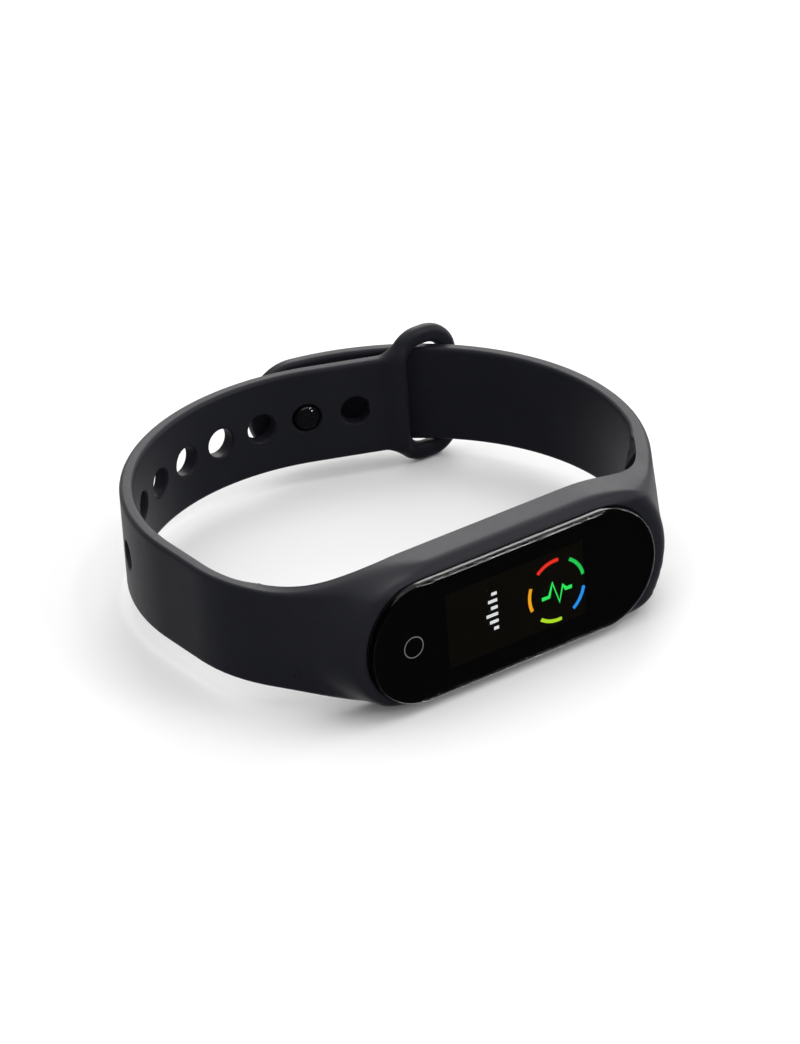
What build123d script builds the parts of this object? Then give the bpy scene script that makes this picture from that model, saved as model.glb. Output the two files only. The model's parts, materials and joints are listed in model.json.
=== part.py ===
from build123d import *
from math import acos, atan2, cos, degrees, hypot, radians, sin
import os

# Fitness tracker band, standing on its edge. Millimetres.
# The pieces are built about the middle of the lens's front: X along the capsule,
# Y from the lens towards the wrist, Z along the wrist. They are then moved so that
# the origin is under the middle of the whole band.

# Capsule
capsule_length = 46.9
capsule_width = 17.9
capsule_depth = 12.0
lens_thickness = 1.1
lens_edge_round = 0.7
mask_thickness = 0.05       # black print and glue film behind the lens
frame_inset = 0.2           # the frame's flange inside the lens's edge
flange_thickness = 0.9
gasket_thickness = 0.2
case_inset = 1.2            # the case's side inside the lens's edge
case_step_depth = capsule_depth - 5.0    # from the lens's front to the case's shoulder
case_wall = 0.9
tub_length = 37.4           # narrow back of the case
tub_width = 12.0
tub_depth = capsule_depth - 0.8          # from the lens's front to the case's back
tub_round = 1.2
frame_skirt_wall = 0.9      # the board rests on the skirt's end
inner_gap = 0.1             # between a piece inside the capsule and its seat

# Band
strap_thickness = 2.0
strap_width = 14.5
strap_edge_round = 0.6
cradle_height = 20.2
cradle_rim_depth = 1.2      # the silicone rim, behind the lens's front
cradle_floor_depth = case_step_depth + 0.4    # the cradle's inner face
cradle_front_round = 2.2
inner_sweep = 14.0          # where the inner face turns up into the straps
collar_depth = capsule_depth - 1.8       # the collar round the narrow back of the case
collar_wall = 1.5
capsule_clearance = 0.15
shoulder_length = 62.6      # the cradle's boss where it runs out into the straps
shoulder_depth = 17.0
rim_width = 0.85            # silicone rim along the lens
rim_end_width = 2.15        # and past its ends
taper_end = 30.0            # where the cradle has narrowed to the strap
taper_crown = 0.6

# Plan of the closed band: three circles, given by the outer face of the strap
tail_centre = (3.2, 33.5)
tail_inner_radius = 33.85
tail_outer_radius = tail_inner_radius + strap_thickness
hole_centre = (-1.1, 35.0)
hole_outer_radius = 32.4
side_outer_radius = 24.4
side_centre_y = 27.0
right_joint_angle = -38.0
left_joint_angle = 205.0
hinge_angle = 50.0
hinge_gap = 0.25

# Keeper loop
loop_angle = 47.2
loop_tilt = 41.0
loop_bar = 2.6
loop_thickness = 2.2
loop_span = 4.4 + 2 * strap_thickness    # between the middles of the near and far bars
loop_height = 20.6
loop_corner = 5.0
loop_edge_round = 0.9
loop_radius = 34.75

# Holes and stud
hole_diameter = 4.2
hole_count = 9
hole_pitch = 7.0
first_hole = 6.4            # from the near bar of the loop
stud_hole = 1               # the hole that the stud is in, counted from 0
tip_length = 7.6            # from the stud to the end of the tail
stud_head_diameter = hole_diameter - 0.7
stud_neck_diameter = 2.4
stud_shank_diameter = 1.6
stud_cap_diameter = 6.0
stud_cap_thickness = 0.9
stud_shank_length = 0.6      # in the cap
stud_head_proud = 0.7       # past the inner face of the hole strap
stud_head_thickness = 1.5

# Pieces inside the capsule
panel_size = (25.5, 12.6, 0.8)
panel_x = 0.4
view_size = (22.6, 11.2)    # the display's picture
cushion_thickness = 0.25
cushion_inset = (3.0, 1.0)  # inside the panel's edges
fold_length = 2.2           # of the display ribbon
touch_x = -16.7
touch_pad_diameter = 5.0
touch_pad_thickness = 0.1
touch_spring_size = (2.4, 1.6, 0.15)    # length, width, metal
board_front = 2.95
board_thickness = 0.6
chip_height = 0.6
chips = {                   # length, width, x, z
    "radio_processor": (5.0, 5.0, -8.0, 0.0),
    "flash_memory": (3.0, 2.0, -2.5, 2.0),
    "motion_sensor": (2.0, 2.0, -2.5, -2.5),
    "crystal": (2.0, 1.6, -16.0, 0.0),
    "power_chip": (2.4, 2.4, 3.0, 0.0),
    "chip_antenna": (1.6, 3.2, -18.4, 0.0),
    "sensor_socket": (1.6, 4.4, 8.5, 0.0),
}
battery_size = (21.5, 9.8, capsule_depth - 8.2)
battery_x = 1.25
battery_corner = 0.8
battery_tape_size = (5.0, 4.0, 0.1)
guard_size = (0.8, 7.0, battery_size[2] - 1.4)    # protection board
guard_gap = 0.1
motor_diameter = 7.0
motor_height = 2.2
motor_x = 16.6
motor_shaft_diameter = 0.8
motor_plate = 0.2
motor_running_gap = 0.03
magnet_thickness = 0.5
magnet_ring = (2.8, 5.6)     # inner and outer diameters
rotor_lift = 0.15           # above the magnet
rotor_hub_diameter = 2.0
rotor_thickness = 0.8
rotor_radius = 2.6
sensor_board_size = (13.0, 8.8, 0.5)
sensor_board_front = capsule_depth - 3.1
sensor_part_height = 0.6
window_diameter = 8.0
window_seat_diameter = 9.4
window_thickness = 0.8
contact_diameter = 2.0
contact_spacing = 5.0
contact_x = -14.5
spring_barrel = (1.2, capsule_depth / 3)    # diameter and length
spring_pin_diameter = 0.8
contact_tail = 0.6
led_size = (1.2, 1.6, sensor_part_height)
led_spacing = 5.2
photodiode_size = (2.2, 2.4, sensor_part_height)
baffle_window = (2.6, 1.8, 3.0)    # middle and side lengths, width
lead_diameter = 0.5
lead_reach = 1.6
lead_spacing = 3.6
motor_lead_spacing = 1.0
ribbon_thickness = 0.12
ribbon_width = 5.0


def polar(centre, radius, angle):
    """Point of a plan circle."""
    return (centre[0] + radius * cos(radians(angle)), centre[1] + radius * sin(radians(angle)))


def pill(length, width, near, far):
    """Pill across the capsule, between two depths."""
    return extrude(Plane.XZ.offset(-near) * SlotOverall(length, width), near - far)


def block(size, x, near, z=0.0):
    """Box from (length, width, thickness), its front at a depth."""
    length, width, thickness = size
    return Pos(x, near + thickness / 2, z) * Box(length, thickness, width)


def disc(diameter, x, near, far, z=0.0):
    """Round slab facing along the depth."""
    return extrude(Plane.XZ.offset(-near) * Pos(x, z) * Circle(diameter / 2), near - far)


def prism(plan, height):
    """Solid of a plan sketch, centred on the band's middle."""
    return extrude(plan, height / 2, both=True)


def round_plan(centre, radius):
    return Pos(*centre) * Circle(radius)


def sector(centre, start, end, radius=120.0):
    """Wedge of the plan between two directions."""
    steps = 6
    points = [polar(centre, radius, start + (end - start) * i / steps) for i in range(steps + 1)]
    return make_face(Polyline(centre, *points, close=True))


def round_long_edges(solid, height, radius):
    """Rounds the edges that run along the strap."""
    rims = [e for e in solid.edges() if abs(abs(e.center().Z) - height / 2) < 1e-3]
    return fillet([e for e in rims if e.length > 1.2 * strap_thickness], radius)


side_centre = (hole_centre[0] - hole_outer_radius + side_outer_radius, side_centre_y)
loop_centre = polar(tail_centre, loop_radius, loop_angle)
bar_angle = loop_angle + 90 + loop_tilt
near_bar = polar(loop_centre, loop_span / 2, bar_angle)
hole_mid_radius = hole_outer_radius - strap_thickness / 2
run_x = near_bar[0] - hole_centre[0]
run_y = near_bar[1] - hole_centre[1]
bend_angle = degrees(atan2(run_y, run_x) + acos(hole_mid_radius / hypot(run_x, run_y)))
straight_length = (hypot(run_x, run_y) ** 2 - hole_mid_radius ** 2) ** 0.5


def hole_place(along):
    """Point and outward direction on the middle of the hole strap, from the near bar."""
    if along < straight_length:
        angle = bend_angle
        x, y = near_bar
        return (x - along * sin(radians(angle)), y + along * cos(radians(angle))), angle
    angle = bend_angle + degrees((along - straight_length) / hole_mid_radius)
    return polar(hole_centre, hole_mid_radius, angle), angle


stud_seat = hole_place(first_hole + stud_hole * hole_pitch)[0]
stud_angle = degrees(atan2(stud_seat[1] - tail_centre[1], stud_seat[0] - tail_centre[0]))
stud_seat_radius = hypot(stud_seat[0] - tail_centre[0], stud_seat[1] - tail_centre[1])


def across(centre, angle, radius):
    """Plane on a plan circle, facing out along its radius."""
    x, y = polar(centre, radius, angle)
    return Plane(origin=(x, y, 0), x_dir=(0, 0, 1), z_dir=(cos(radians(angle)), sin(radians(angle)), 0))


# Wristband

def hole_strap(loop):
    hole_inner = hole_outer_radius - strap_thickness
    back = round_plan(hole_centre, hole_outer_radius) - round_plan(hole_centre, hole_inner)
    back &= sector(hole_centre, bend_angle, 180)
    start = hole_place(0)[0]
    direction = bend_angle
    half = strap_thickness / 2
    corners = []
    for along, out in ((0, half), (straight_length, half), (straight_length, -half), (0, -half)):
        x = start[0] - along * sin(radians(direction)) + out * cos(radians(direction))
        y = start[1] + along * cos(radians(direction)) + out * sin(radians(direction))
        corners.append((x, y))
    straight = make_face(Polyline(*corners, close=True))
    left = hole_centre[0] - hole_outer_radius
    side_y = (hole_centre[1] + side_centre[1]) / 2
    side = Pos(left + half, side_y) * Rectangle(strap_thickness, hole_centre[1] - side_centre[1])
    bend = round_plan(side_centre, side_outer_radius)
    bend -= round_plan(side_centre, side_outer_radius - strap_thickness)
    bend &= sector(side_centre, 180, left_joint_angle)
    plan = straight + back + side + bend
    strap = round_long_edges(prism(plan, strap_width), strap_width, strap_edge_round)
    for i in range(hole_count):
        (x, y), angle = hole_place(first_hole + i * hole_pitch)
        axis = Plane(origin=(x, y, 0), z_dir=(cos(radians(angle)), sin(radians(angle)), 0))
        strap -= axis * Cylinder(hole_diameter / 2, 3 * strap_thickness)
    return strap - loop


def tail_plan(start, end):
    ring = round_plan(tail_centre, tail_outer_radius) - round_plan(tail_centre, tail_inner_radius)
    return ring & sector(tail_centre, start, end)


def tail_strap():
    strap = prism(tail_plan(right_joint_angle, hinge_angle), strap_width)
    return round_long_edges(strap, strap_width, strap_edge_round)


def tail_end():
    """Free end of the tail, with a round tip and a hole for the stud's shank."""
    mid_radius = tail_outer_radius - strap_thickness / 2
    first = hinge_angle + degrees(hinge_gap / mid_radius)
    last = stud_angle + degrees(tip_length / mid_radius)
    end = round_long_edges(prism(tail_plan(first, last), strap_width), strap_width, strap_edge_round)
    outline_start = Plane(origin=across(tail_centre, last, 0).origin, x_dir=(0, 0, 1),
                          z_dir=(cos(radians(stud_angle)), sin(radians(stud_angle)), 0))
    tip_round = strap_width / 2
    reach = tail_outer_radius
    outline = Pos(0, reach / 2 - tip_length + tip_round) * Rectangle(strap_width, reach)
    outline += Pos(0, tip_round - tip_length) * Circle(tip_round)
    end &= extrude(outline_start * outline, 2 * reach)
    cap_seat = across(tail_centre, stud_angle, tail_outer_radius - stud_cap_thickness)
    end -= extrude(cap_seat * Circle(stud_cap_diameter / 2), 2 * stud_cap_thickness)
    neck_hole = Cylinder(stud_neck_diameter / 2, 3 * strap_thickness)
    return end - across(tail_centre, stud_angle, mid_radius) * neck_hole


def stud_cap():
    """Disc on the outer face of the tail."""
    seat = across(tail_centre, stud_angle, tail_outer_radius - stud_cap_thickness)
    disk = extrude(seat * Circle(stud_cap_diameter / 2), stud_cap_thickness)
    return disk - extrude(seat * Circle(stud_shank_diameter / 2), stud_shank_length)


def stud_post():
    """Neck, shank in the cap, and domed head in the strap's hole."""
    seat_radius = tail_outer_radius - stud_cap_thickness
    head_inner = stud_seat_radius - strap_thickness / 2 - stud_head_proud
    head_seat = across(tail_centre, stud_angle, head_inner)
    head = extrude(head_seat * Circle(stud_head_diameter / 2), stud_head_thickness)
    head = fillet(head.edges().sort_by(Axis.Y)[:1], stud_head_thickness * 0.6)
    neck_length = seat_radius - head_inner - stud_head_thickness
    neck_seat = across(tail_centre, stud_angle, seat_radius - neck_length)
    neck = extrude(neck_seat * Circle(stud_neck_diameter / 2), neck_length)
    shank_seat = across(tail_centre, stud_angle, seat_radius)
    shank = extrude(shank_seat * Circle(stud_shank_diameter / 2), stud_shank_length)
    return head + neck + shank


def keeper_loop():
    """Tilted ring: near bar on the hole strap's end, far bar outside the tail."""
    bar_dir = radians(bar_angle)
    across_bars = (-cos(bar_dir), -sin(bar_dir), 0)
    normal = (sin(bar_dir), -cos(bar_dir), 0)
    plane = Plane(origin=(*loop_centre, 0), x_dir=across_bars, z_dir=normal)
    outline = RectangleRounded(loop_span + loop_bar, loop_height, loop_corner)
    inner_corner = loop_corner - loop_bar
    outline -= RectangleRounded(loop_span - loop_bar, loop_height - 2 * loop_bar, inner_corner)
    ring = extrude(plane * outline, loop_thickness / 2, both=True)
    faces = [e for e in ring.edges() if abs(plane.to_local_coords(e.center()).Z) > 0.49 * loop_thickness]
    return fillet(faces, loop_edge_round)


def front_outline():
    """Height of the band along the capsule, narrowing into the straps."""
    high = cradle_height / 2
    low = strap_width / 2
    flat = capsule_length / 4
    between = ((flat + taper_end) / 2, (high + low) / 2 + taper_crown)
    curve = Spline((flat, high), between, (taper_end, low), tangents=((1, 0), (1, 0)))
    far = 3 * taper_end
    rest = Polyline((taper_end, low), (far, low), (far, 0), (0, 0), (0, high), (flat, high))
    half = make_face(curve + rest)
    quarter = half + mirror(half, Plane.XZ)
    return quarter + mirror(quarter, Plane.YZ)


def cradle():
    """Middle of the wristband, with the pocket for the capsule."""
    reach = 2 * tail_outer_radius
    left_far = polar(side_centre, reach, left_joint_angle)
    right_far = polar(tail_centre, reach, right_joint_angle)
    corners = (side_centre, left_far, (-reach, -reach), (reach, -reach), right_far, tail_centre)
    clip = make_face(Polyline(*corners, close=True))
    outer = round_plan(tail_centre, tail_outer_radius) + round_plan(side_centre, side_outer_radius)
    front = Pos(0, cradle_rim_depth + reach / 2) * Rectangle(2 * reach, reach)
    base = prism(outer & front & clip, 2 * cradle_height)
    front_length = capsule_length + 2 * rim_end_width
    front_width = capsule_width + 2 * rim_width
    boss = loft([
        Plane.XZ.offset(-cradle_rim_depth) * SlotOverall(front_length, front_width),
        Plane.XZ.offset(-shoulder_depth) * SlotOverall(shoulder_length, cradle_height),
    ])
    side = extrude(Plane.XZ.offset(reach) * front_outline(), -2 * reach)
    rounding = Pos(cradle_rim_depth + reach / 2, 0) * Rectangle(reach, cradle_height)
    front_corners = rounding.vertices().sort_by(Axis.X)[:2]
    rounding = fillet(front_corners, cradle_front_round)
    rounding = extrude(Plane.YZ * rounding, reach, both=True)
    body = (base + (boss & prism(clip, 2 * cradle_height))) & side & rounding
    inner = round_plan(tail_centre, tail_inner_radius)
    inner += round_plan(side_centre, side_outer_radius - strap_thickness)
    behind = Pos(0, cradle_floor_depth + reach / 2) * Rectangle(2 * reach, reach)
    opening = inner & behind
    opening = fillet(opening.vertices().group_by(Axis.Y)[0], inner_sweep)
    body -= prism(opening, 2 * cradle_height)
    collar = 2 * (collar_wall + capsule_clearance)
    body += pill(tub_length + collar, tub_width + collar, cradle_floor_depth - 1, collar_depth)
    gap = 2 * capsule_clearance
    flange = 2 * frame_inset
    seat = flange_back + capsule_clearance
    body -= pill(capsule_length - flange + gap, capsule_width - flange + gap, 0, seat)
    body -= pill(case_length + gap, case_width + gap, 0, case_step_depth + capsule_clearance)
    return body - pill(tub_length + gap, tub_width + gap, 0, capsule_depth)


# Capsule shell

frame_length = capsule_length - 2 * frame_inset
frame_width = capsule_width - 2 * frame_inset
case_length = capsule_length - 2 * case_inset
case_width = capsule_width - 2 * case_inset
room_length = case_length - 2 * case_wall
room_width = case_width - 2 * case_wall
flange_front = lens_thickness + mask_thickness
flange_back = flange_front + flange_thickness
case_front = flange_back + gasket_thickness
skirt_back = board_front
tub_room_length = tub_length - 2 * case_wall
tub_room_width = tub_width - 2 * case_wall
window_front = tub_depth - window_thickness


def lens_cover():
    lens = pill(capsule_length, capsule_width, 0, lens_thickness)
    front_edges = lens.edges().group_by(Axis.Y)[0]
    return fillet(front_edges, lens_edge_round)


def lens_mask():
    """Black border behind the lens, open over the display."""
    film = pill(frame_length, frame_width, lens_thickness, flange_front)
    return film - block((view_size[0], view_size[1], mask_thickness), panel_x, lens_thickness)


def case_frame():
    """Frame under the lens: flange, display window, touch pad seat and skirt."""
    frame = pill(frame_length, frame_width, flange_front, flange_back)
    skirt_length = room_length - 2 * inner_gap
    skirt_width = room_width - 2 * inner_gap
    frame += pill(skirt_length, skirt_width, flange_back, skirt_back)
    wall = 2 * frame_skirt_wall
    frame -= pill(skirt_length - wall, skirt_width - wall, flange_back, skirt_back)
    window = (panel_size[0] + 2 * inner_gap, panel_size[1] + 2 * inner_gap, flange_thickness)
    frame -= block(window, panel_x, flange_front)
    return frame - disc(touch_pad_diameter + 2 * inner_gap, touch_x, flange_front, flange_back)


def case_gasket():
    ring = pill(case_length - inner_gap, case_width - inner_gap, flange_back, case_front)
    return ring - pill(room_length, room_width, flange_back, case_front)


def contact_spots():
    return [contact_spacing / 2, -contact_spacing / 2]


def lower_case():
    """Skin side of the capsule: wide tub, narrow back, window seat, contact holes."""
    case = pill(case_length, case_width, case_front, case_step_depth)
    back = pill(tub_length, tub_width, case_step_depth, tub_depth)
    back = fillet(back.edges().group_by(Axis.Y)[-1], tub_round)
    case += back
    case -= pill(room_length, room_width, case_front, case_step_depth - case_wall)
    case -= pill(tub_room_length, tub_room_width, case_front, tub_depth - case_wall)
    collar_back = capsule_depth
    case += disc(window_seat_diameter + 2 * case_wall, 0, tub_depth - case_wall, collar_back)
    case -= disc(window_seat_diameter - 2 * case_wall, 0, case_front, window_front)
    case -= disc(window_diameter, 0, window_front, collar_back)
    for z in contact_spots():
        case -= disc(contact_diameter, contact_x, tub_depth - case_wall - 1, tub_depth + 1, z)
    return case


# Display and touch key

panel_front = flange_front
cushion_front = panel_front + panel_size[2]


def display_panel():
    return block(panel_size, panel_x, panel_front)


def display_cushion():
    length = panel_size[0] - 2 * cushion_inset[0]
    width = panel_size[1] - 2 * cushion_inset[1]
    return block((length, width, cushion_thickness), panel_x, cushion_front)


def display_ribbon():
    """Ribbon from the panel's end, folded round onto the main board."""
    fold_x = panel_x + panel_size[0] / 2 - 0.4
    start = fold_x - fold_length
    top = cushion_front
    bottom = board_front - ribbon_thickness
    path = [(start, top), (fold_x, top), (fold_x, bottom), (start, bottom),
            (start, bottom - ribbon_thickness), (fold_x - ribbon_thickness, bottom - ribbon_thickness),
            (fold_x - ribbon_thickness, top + ribbon_thickness), (start, top + ribbon_thickness)]
    return extrude(make_face(Polyline(*path, close=True)), ribbon_width / 2, both=True)


def touch_pad():
    return disc(touch_pad_diameter, touch_x, flange_front, flange_front + touch_pad_thickness)


def touch_spring():
    """Bent contact from the board to the touch pad."""
    pad_back = flange_front + touch_pad_thickness
    length, width, metal = touch_spring_size
    half = length / 2
    path = [(-half, pad_back), (half, pad_back), (half, board_front), (-half, board_front),
            (-half, board_front - metal), (half - metal, board_front - metal),
            (half - metal, pad_back + metal), (-half, pad_back + metal)]
    plan = Pos(touch_x, 0) * make_face(Polyline(*path, close=True))
    return extrude(plan, width / 2, both=True)


# Main board

board_back = board_front + board_thickness


def main_board():
    return pill(room_length - 2 * inner_gap, room_width - 2 * inner_gap, board_front, board_back)


def chip(name):
    """A part soldered to the back of the main board."""
    length, width, x, z = chips[name]
    return block((length, width, chip_height), x, board_back, z)


# Battery

battery_front = board_back + chip_height + battery_tape_size[2]
battery_back = battery_front + battery_size[2]


def battery_tape():
    chip_x = chips["radio_processor"][2]
    return block(battery_tape_size, chip_x, battery_front - battery_tape_size[2])


def battery_cell():
    cell = block(battery_size, battery_x, battery_front)
    return fillet(cell.edges().filter_by(Axis.Z), battery_corner)


battery_left = battery_x - battery_size[0] / 2


def battery_guard():
    """Protection board on the end of the cell."""
    return block(guard_size, battery_left - guard_gap - guard_size[0] / 2, battery_front + 0.4)


def battery_leads():
    """Two wires from the protection board to the main board."""
    leads = []
    x = battery_left - guard_gap - guard_size[0]
    far = x - lead_reach
    depth = battery_front + 0.2 + guard_size[2] / 2
    for z in (lead_spacing / 2, -lead_spacing / 2):
        corners = ((x, depth, z), (far, depth, z), (far, board_back, z))
        path = FilletPolyline(*corners, radius=lead_diameter)
        section = Plane(origin=(x, depth, z), z_dir=(-1, 0, 0)) * Circle(lead_diameter / 2)
        leads.append(sweep(section, path))
    return Compound(leads)


# Vibration motor

motor_front = board_back
motor_back = motor_front + motor_height


def motor_base():
    return disc(motor_diameter, motor_x, motor_front, motor_front + motor_plate)


def motor_cover():
    cup = disc(motor_diameter, motor_x, motor_front + motor_plate, motor_back)
    return cup - disc(motor_diameter - 2 * motor_plate, motor_x, motor_front, motor_back - motor_plate)


def motor_magnet():
    depth = motor_front + motor_plate
    hole, outside = magnet_ring
    ring = disc(outside, motor_x, depth, depth + magnet_thickness)
    return ring - disc(hole, motor_x, depth, depth + magnet_thickness)


def motor_shaft():
    return disc(motor_shaft_diameter, motor_x, motor_front + motor_plate, motor_back - motor_plate)


rotor_front = motor_front + motor_plate + magnet_thickness + rotor_lift


def motor_rotor():
    """Off-centre half disc with a hub that turns on the shaft."""
    rotor = disc(2 * rotor_radius, motor_x, rotor_front, rotor_front + rotor_thickness)
    rotor &= Pos(motor_x + rotor_radius, rotor_front, 0) * Box(2 * rotor_radius, 4, 4 * rotor_radius)
    rotor += disc(rotor_hub_diameter, motor_x, rotor_front, rotor_front + rotor_thickness)
    bore = motor_shaft_diameter + 2 * motor_running_gap
    return rotor - disc(bore, motor_x, rotor_front, rotor_front + rotor_thickness)


def motor_leads():
    """Two wires along the motor's side to pads on the board."""
    leads = []
    side = Plane.YZ.offset(motor_x + motor_diameter / 2)
    for z in (motor_lead_spacing / 2, -motor_lead_spacing / 2):
        wire = side * Pos(motor_front + lead_diameter / 2, z) * Circle(lead_diameter / 2)
        leads.append(extrude(wire, 2 * lead_diameter))
    return Compound(leads)


# Pulse sensor

sensor_board_back = sensor_board_front + sensor_board_size[2]


def sensor_board():
    return block(sensor_board_size, 0, sensor_board_front)


def green_leds():
    spots = (led_spacing / 2, -led_spacing / 2)
    return Compound([block(led_size, x, sensor_board_back) for x in spots])


def photodiode():
    return block(photodiode_size, 0, sensor_board_back)


def light_baffle():
    """Ring and two walls that keep the LEDs' light off the photodiode."""
    back = window_front
    ring = disc(window_seat_diameter - 2 * case_wall - 2 * inner_gap, 0, sensor_board_back, back)
    middle, side, width = baffle_window
    for x, length in ((0, middle), (led_spacing / 2, side), (-led_spacing / 2, side)):
        ring -= block((length, width, back - sensor_board_back), x, sensor_board_back)
    return ring


def sensor_window():
    return disc(window_diameter, 0, window_front, capsule_depth)


def sensor_ribbon():
    """Ribbon from the sensor board round the battery to the socket."""
    inside = battery_x + battery_size[0] / 2 + 2 * inner_gap
    outside = inside + ribbon_thickness
    start = sensor_board_size[0] / 2 - 1
    socket = chips["sensor_socket"][2] + chips["sensor_socket"][0] / 2
    back = sensor_board_front
    front = board_back
    path = [(start, back), (start, back - ribbon_thickness), (inside, back - ribbon_thickness),
            (inside, front + ribbon_thickness), (socket, front + ribbon_thickness),
            (socket, front), (outside, front), (outside, back)]
    return extrude(make_face(Polyline(*path, close=True)), ribbon_width / 2 - 0.5, both=True)


# Charging

def charging_contacts():
    """Two gold contacts in the case's back."""
    pins = []
    for z in contact_spots():
        pin = disc(contact_diameter, contact_x, tub_depth - case_wall, tub_depth, z)
        inside = tub_depth - case_wall
        pins.append(pin + disc(contact_diameter / 2, contact_x, inside - contact_tail, inside, z))
    return Compound(pins)


def charging_springs():
    """Two spring pins from the main board to the contacts."""
    diameter, length = spring_barrel
    barrel_back = board_back + length
    back = tub_depth - case_wall - contact_tail
    pins = []
    for z in contact_spots():
        barrel = disc(diameter, contact_x, board_back, barrel_back, z)
        pins.append(barrel + disc(spring_pin_diameter, contact_x, barrel_back, back, z))
    return Compound(pins)


def build_all():
    loop = keeper_loop()
    return {
        "cradle": cradle(),
        "hole_strap": hole_strap(loop),
        "keeper_loop": loop,
        "tail_strap": tail_strap(),
        "tail_end": tail_end(),
        "stud_cap": stud_cap(),
        "stud_post": stud_post(),
        "lens_cover": lens_cover(),
        "lens_mask": lens_mask(),
        "case_frame": case_frame(),
        "case_gasket": case_gasket(),
        "lower_case": lower_case(),
        "display_panel": display_panel(),
        "display_cushion": display_cushion(),
        "display_ribbon": display_ribbon(),
        "touch_pad": touch_pad(),
        "touch_spring": touch_spring(),
        "main_board": main_board(),
        "radio_processor": chip("radio_processor"),
        "flash_memory": chip("flash_memory"),
        "motion_sensor": chip("motion_sensor"),
        "crystal": chip("crystal"),
        "power_chip": chip("power_chip"),
        "chip_antenna": chip("chip_antenna"),
        "sensor_socket": chip("sensor_socket"),
        "battery_tape": battery_tape(),
        "battery_cell": battery_cell(),
        "battery_guard": battery_guard(),
        "battery_leads": battery_leads(),
        "motor_base": motor_base(),
        "motor_cover": motor_cover(),
        "motor_magnet": motor_magnet(),
        "motor_shaft": motor_shaft(),
        "motor_rotor": motor_rotor(),
        "motor_leads": motor_leads(),
        "sensor_board": sensor_board(),
        "green_leds": green_leds(),
        "photodiode": photodiode(),
        "light_baffle": light_baffle(),
        "sensor_window": sensor_window(),
        "sensor_ribbon": sensor_ribbon(),
        "charging_contacts": charging_contacts(),
        "charging_springs": charging_springs(),
    }


parts = build_all()
box = Compound([part for part in parts.values()]).bounding_box()
middle = box.center()
origin_shift = (-middle.X, -middle.Y, -box.min.Z)

os.makedirs("parts", exist_ok=True)
for name, part in parts.items():
    export_step(Pos(*origin_shift) * part, f"parts/{name}.step")
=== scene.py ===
# Fitness tracker band, standing on its edge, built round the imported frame.
import json
import math

import bmesh
import bpy
import numpy as np
from mathutils import Matrix, Vector


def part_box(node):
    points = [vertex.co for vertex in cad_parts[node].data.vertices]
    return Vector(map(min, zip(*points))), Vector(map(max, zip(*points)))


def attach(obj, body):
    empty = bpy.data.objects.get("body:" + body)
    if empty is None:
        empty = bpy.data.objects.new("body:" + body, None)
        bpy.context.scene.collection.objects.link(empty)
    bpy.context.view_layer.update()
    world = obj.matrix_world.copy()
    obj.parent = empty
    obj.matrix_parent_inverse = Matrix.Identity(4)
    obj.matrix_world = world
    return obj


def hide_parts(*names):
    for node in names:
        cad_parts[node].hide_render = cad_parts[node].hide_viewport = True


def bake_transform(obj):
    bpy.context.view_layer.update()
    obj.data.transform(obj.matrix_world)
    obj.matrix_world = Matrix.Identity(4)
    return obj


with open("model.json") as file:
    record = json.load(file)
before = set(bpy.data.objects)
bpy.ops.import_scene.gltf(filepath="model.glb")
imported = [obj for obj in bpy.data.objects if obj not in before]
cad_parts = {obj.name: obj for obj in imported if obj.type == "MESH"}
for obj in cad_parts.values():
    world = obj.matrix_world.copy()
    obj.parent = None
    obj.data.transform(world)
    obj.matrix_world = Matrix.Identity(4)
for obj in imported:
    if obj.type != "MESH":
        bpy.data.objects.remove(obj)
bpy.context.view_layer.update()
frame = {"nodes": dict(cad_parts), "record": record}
nodes = frame["nodes"]
print("frame loaded:", len(nodes), "nodes")

# Shapes are worked out in millimetres from the middle of the lens's front:
# x along the capsule, y from the lens towards the wrist, z up.
lensLow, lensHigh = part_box("lens_cover")
capsuleOrigin = np.array([(lensLow.x + lensHigh.x) / 2, lensLow.y, (lensLow.z + lensHigh.z) / 2])


def toFrame(points):
    return np.asarray(points, float) * 0.001 + capsuleOrigin


# ---- camera, lights and floor

cameraSettings = {
    "place": (-492.784, -720.647, 488.058),
    "azimuth": 33.4,
    "elevation": 28.5,
    "roll": 4.1,
    "lens": 258.6,
}


def makeCamera(settings):
    azimuth, elevation, roll = (math.radians(settings[k]) for k in ("azimuth", "elevation", "roll"))
    level = math.cos(elevation)
    back = Vector((-math.sin(azimuth) * level, -math.cos(azimuth) * level, math.sin(elevation)))
    right = (-back).cross(Vector((0, 0, 1))).normalized()
    up = right.cross(-back)
    side = math.cos(roll) * right - math.sin(roll) * up
    top = math.sin(roll) * right + math.cos(roll) * up
    data = bpy.data.cameras.new("camera")
    data.sensor_width = 36
    data.lens = settings["lens"]
    data.clip_start, data.clip_end = 0.05, 20
    camera = bpy.data.objects.new("camera", data)
    place = toFrame(settings["place"])
    turn = Matrix((side, top, back)).transposed()
    camera.matrix_world = Matrix.Translation(Vector(place)) @ turn.to_4x4()
    bpy.context.scene.collection.objects.link(camera)
    bpy.context.scene.camera = camera


makeCamera(cameraSettings)

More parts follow.
